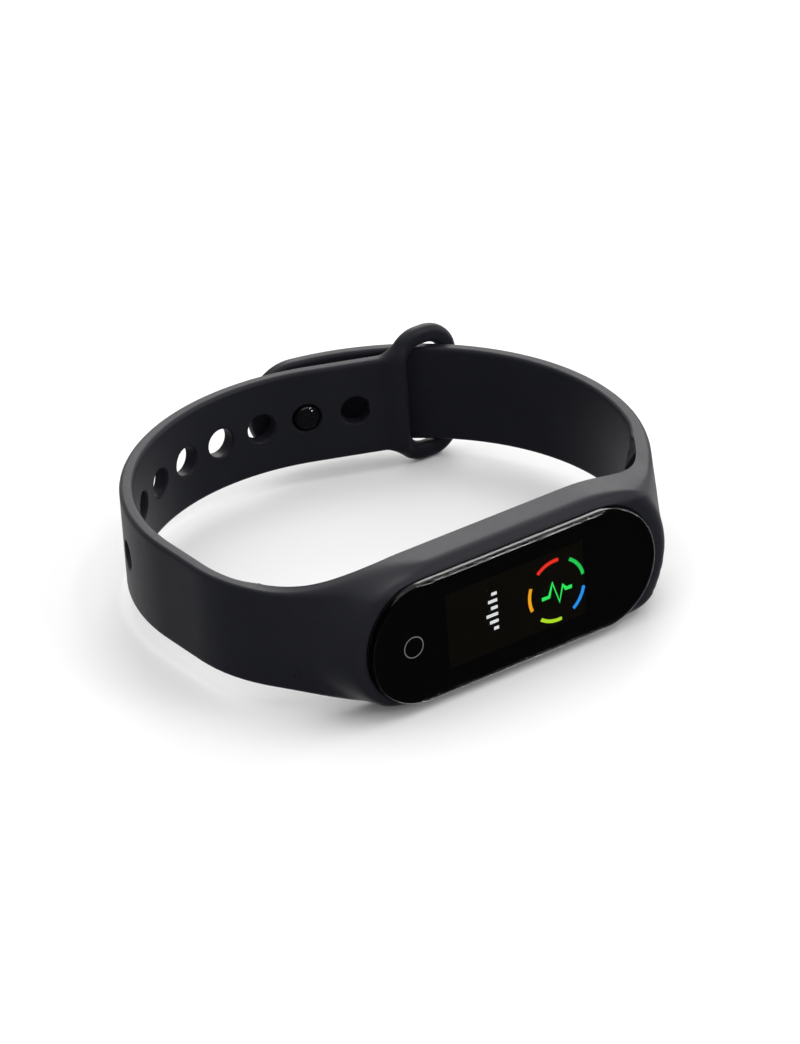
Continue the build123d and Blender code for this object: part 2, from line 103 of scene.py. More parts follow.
studio = {
    "floorSize": 3.0,
    "floorColor": (0.95, 0.95, 0.95, 1),
    "floorMarks": (0.925, 0.925, 0.925),
    "skyStrength": 0.84,
    "backdropToward": (0.55, 0.81, -0.2),
    "backdropStrength": 0.9,         # what shiny faces see behind the band
    "frontStrength": 0.02,           # and in front of it, where the studio is dark
    "changeSteepness": 1.6,          # how quickly one gives way to the other
    "changeStart": 0.45,
}
lamps = {
    "topLight": {"place": (0.05, 0.1, 0.7), "target": (0, 0, 0), "size": (0.8, 0.8), "power": 1.5},
    "backLight": {"place": (0.5, 0.62, 0.42), "target": (0, 0, 0.01), "size": (0.5, 0.35), "power": 2.2,
                  "color": (1.0, 0.975, 0.96)},
    "rightLight": {"place": (0.62, -0.12, 0.16), "target": (0, 0, 0.01), "size": (0.12, 0.3), "power": 0.5,
                   "color": (1.0, 0.97, 0.95)},
    "edgeLight": {"place": (0.26, -0.26, 0.42), "target": (0, 0, 0.01), "size": (0.3, 0.03), "power": 0.35},
    "frontLight": {"place": (0.39, -0.62, 0.31), "target": (0, 0, 0.01), "size": (0.1, 0.1), "power": 0.6},
}


def areaLight(name, place, target, size, power, color=(1, 1, 1)):
    data = bpy.data.lights.new(name, "AREA")
    data.shape = "RECTANGLE"
    data.size, data.size_y = size
    data.energy = power
    data.color = color
    light = bpy.data.objects.new(name, data)
    light.location = place
    aim = Vector(target) - Vector(place)
    light.rotation_euler = aim.to_track_quat("-Z", "Y").to_euler()
    bpy.context.scene.collection.objects.link(light)


for lampName, lamp in lamps.items():
    areaLight(lampName, **lamp)


# ---- small tools for node trees

def newGroup(name, inputs, outputs):
    group = bpy.data.node_groups.new(name, "ShaderNodeTree")
    for socket, value in inputs.items():
        made = group.interface.new_socket(name=socket, in_out="INPUT", socket_type="NodeSocketFloat")
        made.default_value = value
    for socket in outputs:
        group.interface.new_socket(name=socket, in_out="OUTPUT", socket_type="NodeSocketFloat")
    return group, group.nodes.new("NodeGroupInput"), group.nodes.new("NodeGroupOutput")


def addNode(tree, kind, values=None, **settings):
    node = tree.nodes.new(kind)
    for key, value in settings.items():
        setattr(node, key, value)
    for key, value in (values or {}).items():
        node.inputs[key].default_value = value
    return node


def mathNode(tree, operation, first, second, third=None, clamp=False):
    node = addNode(tree, "ShaderNodeMath", operation=operation, use_clamp=clamp)
    for i, value in enumerate((first, second, third)):
        if value is None:
            continue
        if isinstance(value, (int, float)):
            node.inputs[i].default_value = value
        else:
            tree.links.new(value, node.inputs[i])
    return node.outputs[0]


def makeSky(settings):
    # even soft light, but shiny faces see a pale backdrop behind and a dark studio in front
    world = bpy.data.worlds.new("studioSky")
    world.use_nodes = True
    tree = world.node_tree
    place = addNode(tree, "ShaderNodeTexCoord")
    facing = addNode(tree, "ShaderNodeVectorMath", operation="DOT_PRODUCT")
    tree.links.new(place.outputs["Generated"], facing.inputs[0])
    facing.inputs[1].default_value = settings["backdropToward"]
    share = mathNode(tree, "MULTIPLY_ADD", facing.outputs["Value"], settings["changeSteepness"],
                     -settings["changeStart"], clamp=True)
    seen = mathNode(tree, "MULTIPLY_ADD", share, settings["backdropStrength"], settings["frontStrength"])
    path = addNode(tree, "ShaderNodeLightPath")
    change = mathNode(tree, "SUBTRACT", seen, settings["skyStrength"])
    shiny = mathNode(tree, "MAXIMUM", path.outputs["Is Glossy Ray"], path.outputs["Is Transmission Ray"])
    strength = mathNode(tree, "MULTIPLY_ADD", shiny, change, settings["skyStrength"])
    tree.links.new(strength, tree.nodes["Background"].inputs["Strength"])
    tree.nodes["Background"].inputs["Color"].default_value = (1, 1, 1, 1)
    bpy.context.scene.world = world
    bpy.context.scene.view_settings.view_transform = "Standard"


makeSky(studio)
print("camera and lights placed")


# ---- shared effects for the materials

def makeFineGrain():
    # moulded or etched surface: small cells with a softer swell under them
    inputs = {"Cells": 9000.0, "Swell": 700.0, "Swell Share": 0.35}
    group, given, result = newGroup("fineGrain", inputs, ("Height", "Tone"))
    place = addNode(group, "ShaderNodeTexCoord")
    cells = addNode(group, "ShaderNodeTexVoronoi", feature="SMOOTH_F1")
    swell = addNode(group, "ShaderNodeTexNoise", {"Detail": 3.0})
    for texture, socket in ((cells, "Cells"), (swell, "Swell")):
        group.links.new(place.outputs["Object"], texture.inputs["Vector"])
        group.links.new(given.outputs[socket], texture.inputs["Scale"])
    share = given.outputs["Swell Share"]
    swellPart = mathNode(group, "MULTIPLY", swell.outputs["Fac"], share)
    height = mathNode(group, "ADD", cells.outputs["Distance"], swellPart)
    group.links.new(height, result.inputs["Height"])
    group.links.new(swell.outputs["Fac"], result.inputs["Tone"])
    return group


def makeHandling():
    # faint cloudy marks left by handling, in patches
    group, given, result = newGroup("handling", {"Size": 60.0, "Sharpness": 3.0, "Amount": 1.0}, ("Mask",))
    place = addNode(group, "ShaderNodeTexCoord")
    broad = addNode(group, "ShaderNodeTexNoise", {"Detail": 5.0, "Roughness": 0.6, "Distortion": 0.4})
    group.links.new(place.outputs["Object"], broad.inputs["Vector"])
    group.links.new(given.outputs["Size"], broad.inputs["Scale"])
    centred = mathNode(group, "SUBTRACT", broad.outputs["Fac"], 0.45)
    sharp = mathNode(group, "MULTIPLY", centred, given.outputs["Sharpness"], clamp=True)
    group.links.new(mathNode(group, "MULTIPLY", sharp, given.outputs["Amount"]), result.inputs["Mask"])
    return group


def makeSpecks():
    # tiny scattered lint or dust points
    group, given, result = newGroup("specks", {"Spacing": 900.0, "Size": 0.1, "Amount": 1.0}, ("Mask",))
    place = addNode(group, "ShaderNodeTexCoord")
    points = addNode(group, "ShaderNodeTexVoronoi", feature="F1")
    patches = addNode(group, "ShaderNodeTexNoise", {"Scale": 150.0, "Detail": 2.0})
    for texture in (points, patches):
        group.links.new(place.outputs["Object"], texture.inputs["Vector"])
    group.links.new(given.outputs["Spacing"], points.inputs["Scale"])
    near = mathNode(group, "LESS_THAN", points.outputs["Distance"], given.outputs["Size"])
    where = mathNode(group, "GREATER_THAN", patches.outputs["Fac"], 0.56)
    both = mathNode(group, "MULTIPLY", near, where)
    group.links.new(mathNode(group, "MULTIPLY", both, given.outputs["Amount"]), result.inputs["Mask"])
    return group


fineGrain = makeFineGrain()
handling = makeHandling()
specks = makeSpecks()


def addGroup(tree, group, **values):
    node = tree.nodes.new("ShaderNodeGroup")
    node.node_tree = group
    for key, value in values.items():
        node.inputs[key.replace("_", " ")].default_value = value
    return node


def mixColor(tree, mask, first, second):
    node = addNode(tree, "ShaderNodeMix", data_type="RGBA")
    tree.links.new(mask, node.inputs["Factor"])
    for key, value in (("A", first), ("B", second)):
        socket = [s for s in node.inputs if s.name == key and s.type == "RGBA"][0]
        if isinstance(value, (tuple, list)):
            socket.default_value = (*value[:3], 1)
        else:
            tree.links.new(value, socket)
    return [s for s in node.outputs if s.type == "RGBA"][0]


def makeFinish(name, look):
    # one material: two tones in cloudy patches, grain in the bump, specks of dust
    material = bpy.data.materials.new(name)
    material.use_nodes = True
    tree = material.node_tree
    shader = tree.nodes["Principled BSDF"]
    grain = addGroup(tree, fineGrain, Cells=look.get("cells", 9000.0), Swell=look.get("swell", 700.0),
                     Swell_Share=look.get("swellShare", 0.35))
    marks = addGroup(tree, handling, Size=look.get("patch", 60.0), Amount=look.get("patchAmount", 0.6))
    tone = mixColor(tree, marks.outputs["Mask"], look["color"], look.get("second", look["color"]))
    if look.get("dust"):
        dust = addGroup(tree, specks, Amount=look["dust"], Spacing=look.get("dustSpacing", 700.0),
                        Size=look.get("dustSize", 0.09))
        tone = mixColor(tree, dust.outputs["Mask"], tone, look.get("dustColor", (0.2, 0.2, 0.21)))
    tree.links.new(tone, shader.inputs["Base Color"])
    low, high = look["roughness"]
    mixed = mathNode(tree, "MULTIPLY_ADD", grain.outputs["Tone"], (high - low) * 0.6, low)
    rough = mathNode(tree, "MULTIPLY_ADD", marks.outputs["Mask"], (high - low) * 0.4, mixed)
    tree.links.new(rough, shader.inputs["Roughness"])
    relief = {"Strength": look.get("bump", 0.15), "Distance": look.get("bumpDepth", 0.00003)}
    bump = addNode(tree, "ShaderNodeBump", relief)
    tree.links.new(grain.outputs["Height"], bump.inputs["Height"])
    tree.links.new(bump.outputs["Normal"], shader.inputs["Normal"])
    shader.inputs["Metallic"].default_value = look.get("metallic", 0.0)
    shader.inputs["Specular IOR Level"].default_value = look.get("specular", 0.5)
    shader.inputs["Coat Weight"].default_value = look.get("coat", 0.0)
    shader.inputs["Coat Roughness"].default_value = look.get("coatRoughness", 0.1)
    shader.inputs["Sheen Weight"].default_value = look.get("sheen", 0.0)
    shader.inputs["Sheen Roughness"].default_value = look.get("sheenRoughness", 0.5)
    return material


finishes = {
    "silicone": {"color": (0.0098, 0.0104, 0.0172), "second": (0.013, 0.0136, 0.0215),
                 "roughness": (0.46, 0.56), "bump": 0.22, "bumpDepth": 0.00002, "cells": 7000.0,
                 "dust": 0.35, "dustSpacing": 620.0, "dustSize": 0.055,
                 "dustColor": (0.075, 0.075, 0.085), "specular": 0.38, "sheen": 0.01,
                 "sheenRoughness": 0.45},
    "stud_black": {"color": (0.004, 0.004, 0.005), "second": (0.007, 0.007, 0.008),
                   "roughness": (0.06, 0.14), "bump": 0.03, "coat": 0.6, "coatRoughness": 0.05},
    "mask_ink": {"color": (0.0015, 0.0015, 0.002), "second": (0.0022, 0.0022, 0.003),
                 "roughness": (0.35, 0.5), "bump": 0.0, "specular": 0.0},
    "case_black": {"color": (0.009, 0.009, 0.011), "second": (0.013, 0.013, 0.015),
                   "roughness": (0.38, 0.52), "bump": 0.3, "cells": 5200.0, "bumpDepth": 0.00004,
                   "dust": 0.3},
    "gasket_rubber": {"color": (0.02, 0.02, 0.021), "second": (0.03, 0.03, 0.031),
                      "roughness": (0.6, 0.75), "bump": 0.25},
    "foam": {"color": (0.05, 0.05, 0.055), "second": (0.08, 0.08, 0.085), "roughness": (0.85, 0.98),
             "bump": 0.8, "cells": 4200.0, "bumpDepth": 0.00012},
    "ribbon_film": {"color": (0.32, 0.11, 0.02), "second": (0.42, 0.16, 0.035), "roughness": (0.25, 0.4),
                    "bump": 0.08, "coat": 0.4},
    "copper": {"color": (0.72, 0.3, 0.16), "second": (0.5, 0.19, 0.1), "roughness": (0.22, 0.42),
               "metallic": 1.0, "bump": 0.12},
    "spring_gold": {"color": (0.86, 0.6, 0.26), "second": (0.66, 0.42, 0.16), "roughness": (0.14, 0.3),
                    "metallic": 1.0, "bump": 0.08},
    "board_green": {"color": (0.008, 0.07, 0.03), "second": (0.012, 0.11, 0.045),
                    "roughness": (0.3, 0.45), "bump": 0.2, "coat": 0.5, "patch": 420.0},
    "chip_black": {"color": (0.014, 0.014, 0.015), "second": (0.028, 0.028, 0.03),
                   "roughness": (0.45, 0.62), "bump": 0.35, "cells": 12000.0},
    "steel": {"color": (0.55, 0.55, 0.56), "second": (0.4, 0.4, 0.42), "roughness": (0.2, 0.38),
              "metallic": 1.0, "bump": 0.1},
    "ceramic": {"color": (0.62, 0.58, 0.5), "second": (0.5, 0.46, 0.4), "roughness": (0.35, 0.5),
                "bump": 0.15},
    "socket_white": {"color": (0.7, 0.68, 0.62), "second": (0.6, 0.57, 0.5), "roughness": (0.4, 0.55),
                     "bump": 0.1},
    "battery_foil": {"color": (0.5, 0.51, 0.53), "second": (0.36, 0.37, 0.4), "roughness": (0.28, 0.5),
                     "metallic": 0.9, "bump": 0.6, "cells": 1500.0, "bumpDepth": 0.00008},
    "lead_red": {"color": (0.42, 0.012, 0.01), "second": (0.3, 0.008, 0.008), "roughness": (0.35, 0.5),
                 "bump": 0.1},
    "magnet": {"color": (0.24, 0.24, 0.25), "second": (0.15, 0.15, 0.16), "roughness": (0.3, 0.5),
               "metallic": 0.85, "bump": 0.2},
    "brass": {"color": (0.6, 0.43, 0.15), "second": (0.45, 0.3, 0.1), "roughness": (0.25, 0.42),
              "metallic": 1.0, "bump": 0.12},
    "led_resin": {"color": (0.1, 0.62, 0.2), "second": (0.3, 0.75, 0.35), "roughness": (0.12, 0.24),
                  "bump": 0.05, "coat": 0.5},
    "photodiode": {"color": (0.01, 0.012, 0.03), "second": (0.02, 0.02, 0.05), "roughness": (0.08, 0.2),
                   "bump": 0.05, "coat": 0.6},
}
materials = {name: makeFinish(name, look) for name, look in finishes.items()}


def makeGlass(name, color, roughness, ior):
    # polished clear or tinted window, with faint handling marks in its gloss
    material = bpy.data.materials.new(name)
    material.use_nodes = True
    tree = material.node_tree
    shader = tree.nodes["Principled BSDF"]
    marks = addGroup(tree, handling, Size=90.0, Amount=1.0)
    tint = mixColor(tree, marks.outputs["Mask"], color, tuple(c * 0.97 for c in color))
    tree.links.new(tint, shader.inputs["Base Color"])
    rough = mathNode(tree, "MULTIPLY_ADD", marks.outputs["Mask"], roughness, roughness * 0.4)
    tree.links.new(rough, shader.inputs["Roughness"])
    shader.inputs["IOR"].default_value = ior
    shader.inputs["Transmission Weight"].default_value = 1.0
    return material


materials["lens_glass"] = makeGlass("lens_glass", (0.93, 0.94, 0.96), 0.03, 1.5)
materials["window_tint"] = makeGlass("window_tint", (0.25, 0.26, 0.28), 0.05, 1.5)


def makeDisplay():
    # dark panel: a faint warm glow in fine rows of cells
    material = bpy.data.materials.new("display")
    material.use_nodes = True
    tree = material.node_tree
    shader = tree.nodes["Principled BSDF"]
    place = addNode(tree, "ShaderNodeTexCoord")
    fine = {"Scale": 2600.0, "Distortion": 0.0}
    rows = addNode(tree, "ShaderNodeTexWave", fine, wave_type="BANDS", bands_direction="Z")
    columns = addNode(tree, "ShaderNodeTexWave", fine, wave_type="BANDS", bands_direction="X")
    for texture in (rows, columns):
        tree.links.new(place.outputs["Object"], texture.inputs["Vector"])
    cells = mathNode(tree, "MULTIPLY", rows.outputs["Fac"], columns.outputs["Fac"])
    glow = mixColor(tree, cells, (0.004, 0.003, 0.0015), (0.012, 0.0085, 0.004))
    tree.links.new(glow, shader.inputs["Base Color"])
    tree.links.new(glow, shader.inputs["Emission Color"])
    shader.inputs["Emission Strength"].default_value = 0.35
    shader.inputs["Roughness"].default_value = 0.3
    shader.inputs["Specular IOR Level"].default_value = 0.0
    return material


materials["display"] = makeDisplay()
print("materials made:", len(materials))


def makeFloor(settings):
    material = bpy.data.materials.new("paleFloor")
    material.use_nodes = True
    tree = material.node_tree
    shader = tree.nodes["Principled BSDF"]
    marks = addGroup(tree, handling, Size=4.0, Amount=0.3)
    tone = mixColor(tree, marks.outputs["Mask"], settings["floorColor"], settings["floorMarks"])
    tree.links.new(tone, shader.inputs["Base Color"])
    shader.inputs["Roughness"].default_value = 0.9
    shader.inputs["Specular IOR Level"].default_value = 0.1
    mesh = bpy.data.meshes.new("floor")
    half = settings["floorSize"] / 2
    corners = [(-half, -half, 0), (half, -half, 0), (half, half, 0), (-half, half, 0)]
    mesh.from_pydata(corners, [], [(0, 1, 2, 3)])
    mesh.materials.append(material)
    floor = bpy.data.objects.new("floor", mesh)
    bpy.context.scene.collection.objects.link(floor)
    floor.visible_glossy = False     # shiny faces see the sky behind the band instead
    floor.visible_transmission = False


makeFloor(studio)


# ---- mesh tools

def addObject(name, mesh, slot=None):
    made = bpy.data.objects.new(name, mesh)
    bpy.context.scene.collection.objects.link(made)
    if slot:
        mesh.materials.clear()
        mesh.materials.append(materials[slot])
    return made


def buildMesh(name, points, faces, slot=None):
    mesh = bpy.data.meshes.new(name)
    mesh.from_pydata([tuple(p) for p in points], [], faces)
    work = bmesh.new()
    work.from_mesh(mesh)
    bmesh.ops.remove_doubles(work, verts=work.verts, dist=1e-7)
    bmesh.ops.dissolve_degenerate(work, edges=work.edges, dist=1e-7)
    bmesh.ops.recalc_face_normals(work, faces=work.faces)
    work.to_mesh(mesh)
    work.free()
    return addObject(name, mesh, slot)


def gridFaces(rows, columns, closed=False):
    # quads of a tube: columns close on themselves, and so do the rows of a ring
    faces = []
    for r in range(rows if closed else rows - 1):
        below = (r + 1) % rows
        for c in range(columns):
            after = (c + 1) % columns
            faces.append((r * columns + c, r * columns + after, below * columns + after, below * columns + c))
    return faces


def endFaces(rows, columns):
    # the two faces that close a tube's ends
    return [tuple(range(columns)), tuple(range((rows - 1) * columns, rows * columns))]


def finishMesh(made, angle=35):
    made.data.polygons.foreach_set("use_smooth", [True] * len(made.data.polygons))
    made.data.set_sharp_from_angle(angle=math.radians(angle))
    return made


def applyModifiers(made):
    # the evaluated mesh takes the place of the object's own
    shape = made.evaluated_get(bpy.context.evaluated_depsgraph_get())
    mesh = bpy.data.meshes.new_from_object(shape)
    old = made.data
    made.modifiers.clear()
    made.data = mesh
    bpy.data.meshes.remove(old)
    return made


def combine(made, tool, operation):
    change = made.modifiers.new("combine", "BOOLEAN")
    change.operation = operation
    change.solver = "EXACT"
    change.object = tool
    applyModifiers(made)
    mesh = tool.data
    bpy.data.objects.remove(tool)
    bpy.data.meshes.remove(mesh)
    return made


def roundMax(a, b, r):
    # overlap of two shapes with a round edge where they cross
    return np.minimum(np.maximum(a, b), -r) + np.hypot(np.maximum(a + r, 0), np.maximum(b + r, 0))


def roundMin(a, b, r):
    # both shapes together with a round hollow between them
    return np.maximum(np.minimum(a, b), r) - np.hypot(np.maximum(r - a, 0), np.maximum(r - b, 0))


def softMin(a, b, k):
    mixed = np.maximum(k - np.abs(a - b), 0) / k
    return np.minimum(a, b) - mixed * mixed * k / 4


def settle(points, field, steps=8, reach=0.6):
    # moves points onto the surface where the field is zero
    p = np.array(points, float)
    step = 0.004
    for _ in range(steps):
        value = field(p)
        slope = np.stack([(field(p + step * axis) - field(p - step * axis)) / (2 * step)
                          for axis in np.eye(3)], 1)
        steepness = np.maximum((slope * slope).sum(1), 0.05)
        p -= np.clip(value / steepness, -reach, reach)[:, None] * slope
    return p


def direction(degrees):
    return np.array([math.cos(math.radians(degrees)), math.sin(math.radians(degrees))])


# ---- the wristband's plan: a straight run, then arcs, given by its inner face

band = {
    "thickness": 2.0,
    "halfWidth": 7.25,
    "edgeRound": 0.6,
    "tailCentre": (3.2, 33.5),
    "tailInner": 33.85,
    "holeCentre": (-1.1, 35.0),
    "holeInner": 30.4,
    "sideCentre": (-9.1, 27.0),
    "sideInner": 22.4,
    "floorDepth": 7.4,
    "innerSweep": 14.0,              # radius where the cradle's floor runs up into the straps
    "seamAngle": 40.5,               # the wristband's piece ends here, under the loop's outer bar
    "spacing": 0.7,
    "sweepPace": 1.7,                # the sweeps have this many times the stations of other arcs
    "sideBlend": 1.0,                # where the two side circles meet
}
loop = {
    "angle": 47.2,
    "tilt": 41.0,
    "bar": 2.6,
    "thickness": 2.2,
    "span": 8.4,
    "height": 20.6,
    "corner": 5.0,
    "edgeRound": 0.95,
    "radius": 34.75,
    "fillet": 1.6,                   # where the strap runs into the loop
    "stub": 4.4,                     # length of strap made with the loop
    "voxel": 0.24,
}
holes = {"radius": 2.1, "count": 9, "pitch": 7.0, "first": 6.4, "edgeRound": 0.22}

tailCentre, holeCentre, sideCentre = (np.array(band[k]) for k in ("tailCentre", "holeCentre", "sideCentre"))
strapMiddle = band["thickness"] / 2
loopCentre = tailCentre + loop["radius"] * direction(loop["angle"])
barAngle = loop["angle"] + 90 + loop["tilt"]
nearBar = loopCentre + loop["span"] / 2 * direction(barAngle)
holeMiddle = band["holeInner"] + strapMiddle
toBar = nearBar - holeCentre
barReach = math.hypot(*toBar)
bendAngle = math.degrees(math.atan2(toBar[1], toBar[0]) + math.acos(holeMiddle / barReach))
straightLength = math.sqrt(barReach ** 2 - holeMiddle ** 2)


def innerSweep(centre, inner, side):
    # circle that is tangent to the floor and to an inner circle
    r = band["innerSweep"]
    rise = centre[1] - band["floorDepth"] - r
    x = centre[0] + side * math.sqrt((inner - r) ** 2 - rise ** 2)
    angle = math.degrees(math.atan2(-rise, x - centre[0])) % 360
    return np.array([x, band["floorDepth"] + r]), angle


leftSweep, leftAngle = innerSweep(sideCentre, band["sideInner"], -1)
rightSweep, rightAngle = innerSweep(tailCentre, band["tailInner"], 1)


def planStations():
    # points of the inner face and outward directions, from the loop to the seam
    points, normals = [], []

    def addRun(start, end, out):
        count = max(2, round(math.dist(start, end) / band["spacing"]))
        for i in range(count):
            points.append(start + (end - start) * i / count)
            normals.append(out)

    def addArc(centre, radius, first, last, pace=1.0):
        count = max(4, round(math.radians(last - first) * radius / band["spacing"] * pace))
        for i in range(count):
            out = direction(first + (last - first) * i / count)
            points.append(centre + radius * out)
            normals.append(out)

    out = direction(bendAngle)
    start = nearBar - strapMiddle * out
    along = np.array([-out[1], out[0]])
    run = straightLength - loop["stub"]
    addRun(start + loop["stub"] * along, start + (loop["stub"] + run) * along, out)
    addArc(holeCentre, band["holeInner"], bendAngle, 180)
    left = holeCentre[0] - band["holeInner"]
    addRun(np.array([left, holeCentre[1]]), np.array([left, sideCentre[1]]), direction(180))
    addArc(sideCentre, band["sideInner"], 180, leftAngle)
    addArc(leftSweep, band["innerSweep"], leftAngle, 270, band["sweepPace"])
    floorStart, floorEnd = (np.array([sweep[0], band["floorDepth"]]) for sweep in (leftSweep, rightSweep))
    addRun(floorStart, floorEnd, direction(270))
    addArc(rightSweep, band["innerSweep"], 270, rightAngle, band["sweepPace"])
    addArc(tailCentre, band["tailInner"], rightAngle - 360, band["seamAngle"])
    last = direction(band["seamAngle"])
    points.append(tailCentre + band["tailInner"] * last)
    normals.append(last)
    return np.array(points), np.array(normals)


# ---- the cradle's surface

cradle = {
    "height": 10.1,                  # half of it
    "flat": 11.7,                    # half length of the full height
    "taperEnd": 30.0,
    "crown": 0.6,
    "frontDepth": 1.2,
    "frontRound": 2.4,
    "lipRound": 0.85,
    "bossNear": (15.8, 9.85),        # half straight length and radius at the front
    "bossFar": (21.2, 10.1),
    "bossDepth": 17.0,
    "leftShort": 0.7,                # the left end of the boss is this much nearer
    "blend": (2.2, 5.5),             # left and right
    "bossSteepness": 0.93,           # the boss leans, so its distance is less than the flat one
    "roundStart": 13.0,              # the front edge's round eases to the strap's over this run
    "roundRun": 16.0,
    "strapDepth": 22.0,              # stations nearer than this take the cradle's surface
}


def halfHeight(x):
    t = np.clip((np.abs(x) - cradle["flat"]) / (cradle["taperEnd"] - cradle["flat"]), 0, 1)
    drop = (cradle["height"] - band["halfWidth"]) * (3 * t ** 2 - 2 * t ** 3)
    return cradle["height"] - drop + cradle["crown"] * 16 * t ** 2 * (1 - t) ** 2


def outerRound(x):
    t = np.clip((np.abs(x) - cradle["roundStart"]) / cradle["roundRun"], 0, 1)
    return cradle["frontRound"] + (band["edgeRound"] - cradle["frontRound"]) * (3 * t ** 2 - 2 * t ** 3)


def outerField(p):
    x, y, z = p.T
    ring = softMin(np.hypot(x - tailCentre[0], y - tailCentre[1]) - band["tailInner"] - band["thickness"],
                   np.hypot(x - sideCentre[0], y - sideCentre[1]) - band["sideInner"] - band["thickness"],
                   band["sideBlend"])
    t = np.clip((y - cradle["frontDepth"]) / (cradle["bossDepth"] - cradle["frontDepth"]), -0.3, 1)
    straight, radius = (near + (far - near) * t for near, far in zip(cradle["bossNear"], cradle["bossFar"]))
    straight = straight - np.where(x < 0, cradle["leftShort"], 0)
    boss = (np.hypot(np.maximum(np.abs(x) - straight, 0), z) - radius) * cradle["bossSteepness"]
    both = softMin(ring, boss, np.where(x < 0, *cradle["blend"]))
    return roundMax(both, cradle["frontDepth"] - y, cradle["lipRound"])


def openingField(p):
    # the room for the wrist
    x, y, z = p.T
    ring = np.minimum(np.hypot(x - tailCentre[0], y - tailCentre[1]) - band["tailInner"],
                      np.hypot(x - sideCentre[0], y - sideCentre[1]) - band["sideInner"])
    return roundMax(ring, band["floorDepth"] - y, band["innerSweep"])


def cradleField(p):
    side = np.abs(p[:, 2]) - halfHeight(p[:, 0])
    outer = roundMax(outerField(p), side, outerRound(p[:, 0]))
    inner = roundMax(-openingField(p), side, band["edgeRound"])
    return np.maximum(outer, inner)


def sectionOutline(height, depths, edge, outerEdge, flats, corners, sides):
    # (depth, z) round one cross-section, from the inner face outwards and back
    turn = np.linspace(0, math.pi / 2, corners, endpoint=False) + math.pi / 4 / corners
    inner = np.linspace(-(height - edge), height - edge, flats)
    outer = np.linspace(height - outerEdge, -(height - outerEdge), flats)
    top = depths[0]
    side = np.linspace(edge, top - outerEdge, sides)
    outline = [(0, z) for z in inner]
    outline += [(edge - edge * math.cos(a), height - edge + edge * math.sin(a)) for a in turn]
    outline += [(d, height) for d in side]
    outline += [(top - outerEdge + outerEdge * math.sin(a), height - outerEdge + outerEdge * math.cos(a))
                for a in turn]
    outline += list(zip(depths, outer))
    outline += [(top - outerEdge + outerEdge * math.cos(a), -(height - outerEdge) - outerEdge * math.sin(a))
                for a in turn]
    outline += [(d, -height) for d in side[::-1]]
    outline += [(edge - edge * math.sin(a), -(height - edge) - edge * math.cos(a)) for a in turn]
    return np.array(outline)


sectionCounts = {"flats": 19, "corners": 6, "sides": 5}


def frontDepths(point, out, z):
    # how far the outer face is from the inner face, along one station's direction
    nearest, furthest, halvings = 0.8, 18.0, 30
    low, high = np.full(len(z), nearest), np.full(len(z), furthest)
    for _ in range(halvings):
        middle = (low + high) / 2
        p = np.column_stack([point[0] + middle * out[0], point[1] + middle * out[1], z])
        inside = outerField(p) < 0
        low, high = np.where(inside, middle, low), np.where(inside, high, middle)
    return (low + high) / 2


def wristbandShape():
    inner, normals = planStations()
    rows, soft = [], []
    for point, out in zip(inner, normals):
        inCradle = point[1] < cradle["strapDepth"]
        height = band["halfWidth"]
        edge = outerEdge = band["edgeRound"]
        depths = np.full(sectionCounts["flats"], band["thickness"])
        if inCradle:
            height = float(halfHeight(point[0] + 2 * out[0]))
            outerEdge = float(outerRound(point[0] + 2 * out[0]))
            heights = np.linspace(height - outerEdge, -(height - outerEdge), sectionCounts["flats"])
            depths = frontDepths(point, out, heights)
            outerEdge = min(outerEdge, depths[0] - edge - 0.3)
        outline = sectionOutline(height, depths, edge, outerEdge, **sectionCounts)
        depth, z = outline.T
        rows.append(np.column_stack([point[0] + depth * out[0], point[1] + depth * out[1], z]))
        soft.append(np.full(len(outline), inCradle))
    columns = len(rows[0])
    points, soft = np.concatenate(rows), np.concatenate(soft)
    points[soft] = settle(points[soft], cradleField)
    faces = gridFaces(len(rows), columns)
    faces += endFaces(len(rows), columns)
    return points, faces


def stackRings(name, profile, count=40, slot=None):
    # closed solid from pill-shaped rings: (depth, half straight length, radius)
    points = []
    for depth, straight, radius in profile:
        for side in (1, -1):
            for i in range(count):
                a = math.pi * (i / (count - 1) - 0.5)
                points.append((side * (straight + radius * math.cos(a)), depth, side * radius * math.sin(a)))
    columns = 2 * count
    faces = gridFaces(len(profile), columns) + endFaces(len(profile), columns)
    return buildMesh(name, toFrame(points), faces, slot)


pocket = {
    "straight": 14.5,
    "flange": (8.9, 2.2),            # radius and depth of the widest part
    "case": (7.9, 7.15),
    "tub": (12.7, 6.15),             # half straight length and radius
    "collar": (12.7, 7.65),
    "collarDepth": 10.2,
    "lip": 0.28,
    "cutStart": -2.0,                # the cutter reaches past the cradle both ways
    "cutEnd": 13.0,
}


def arcSteps(count):
    return [math.pi / 2 * i / count for i in range(count + 1)]


